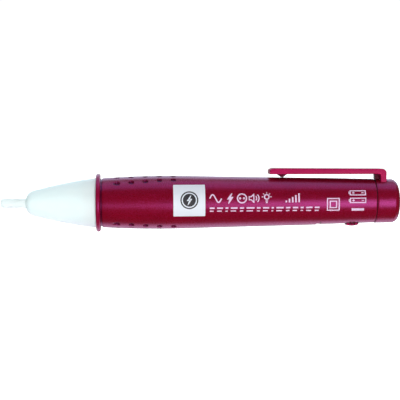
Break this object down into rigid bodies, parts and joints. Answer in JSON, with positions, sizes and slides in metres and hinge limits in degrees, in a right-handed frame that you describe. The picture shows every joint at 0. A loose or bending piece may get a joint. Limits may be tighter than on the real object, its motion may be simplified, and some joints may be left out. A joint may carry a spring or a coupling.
{
  "type": "non contact voltage tester",
  "caption": "Pen-shaped non contact voltage tester: slim probe on a translucent nose, ringed collar, round battery barrel, pocket clip and push button.",
  "frame": {"origin": "on the pen's axis, at the root of the probe rod, where it leaves the nose", "axes": "+X runs back along the pen to the end cap, +Z points out through the pocket clip, -Z out through the push button"},
  "size_m": [0.1572, 0.0226, 0.0245],
  "materials": {
    "nose_plastic": "translucent milky moulding",
    "body_paint": "pearl dark red lacquer on plastic",
    "clip_plastic": "satin raspberry red",
    "label_film": "white film",
    "button_plastic": "satin raspberry red",
    "seal_rubber": "black",
    "inner_plastic": "dark grey",
    "board": "green solder mask",
    "chip_plastic": "black",
    "ceramic_part": "tan",
    "contact_metal": "nickel plated",
    "copper": "bare copper",
    "led_lens": "red tinted",
    "cell_metal": "bright plated can",
    "cell_film": "plain blue film"
  },
  "bodies": {
    "barrel": {"probe_nose": "nose_plastic", "sensor_antenna": "copper", "nose_o_ring": "seal_rubber", "collar_ring": "body_paint", "barrel": "body_paint", "rating_label": "label_film", "chassis": "inner_plastic", "main_board": "board", "sensor_chip": "chip_plastic", "smd_resistors": "chip_plastic", "smd_capacitors": "ceramic_part", "drive_transistor": "chip_plastic", "buzzer": "chip_plastic", "signal_led": "led_lens", "front_contact": "contact_metal", "return_strip": "contact_metal", "strip_board": "board", "link_pins": "contact_metal", "tact_switch": "chip_plastic", "switch_panel": "body_paint"},
    "cap": {"end_cap": "body_paint", "cap_gasket": "seal_rubber", "cap_contact": "contact_metal", "battery_spring": "contact_metal"},
    "clip": {"pocket_clip": "clip_plastic"},
    "button": {"push_button": "button_plastic", "tact_plunger": "inner_plastic"},
    "battery_front": {"battery_front_can": "cell_metal", "battery_front_sleeve": "cell_film"},
    "battery_rear": {"battery_rear_can": "cell_metal", "battery_rear_sleeve": "cell_film"}
  },
  "joints": [
    {"name": "cap_pull", "type": "slide", "parent": "barrel", "child": "cap", "axis": [1, 0, 0], "range_m": [0, 0.12]},
    {"name": "battery_rear_slide", "type": "slide", "parent": "barrel", "child": "battery_rear", "axis": [1, 0, 0], "range_m": [0, 0.101]},
    {"name": "battery_front_slide", "type": "slide", "parent": "barrel", "child": "battery_front", "axis": [1, 0, 0], "range_m": [0, 0.0914]},
    {"name": "clip_flex", "type": "hinge", "parent": "cap", "child": "clip", "pos_m": [0.14018, 0, 0.0069], "axis": [0, 1, 0], "range_deg": [0, 6], "stiffness_Nm_per_rad": 1, "springref_deg": -1.15},
    {"name": "button_press", "type": "slide", "parent": "barrel", "child": "button", "axis": [0, 0, 1], "range_m": [0, 0.0005], "stiffness_N_per_m": 1500, "springref_m": -0.0004}
  ],
  "couplings": [
    {"joint": "battery_rear_slide", "follows": "cap_pull", "ratio": 0.84},
    {"joint": "battery_front_slide", "follows": "cap_pull", "ratio": 0.76}
  ]
}
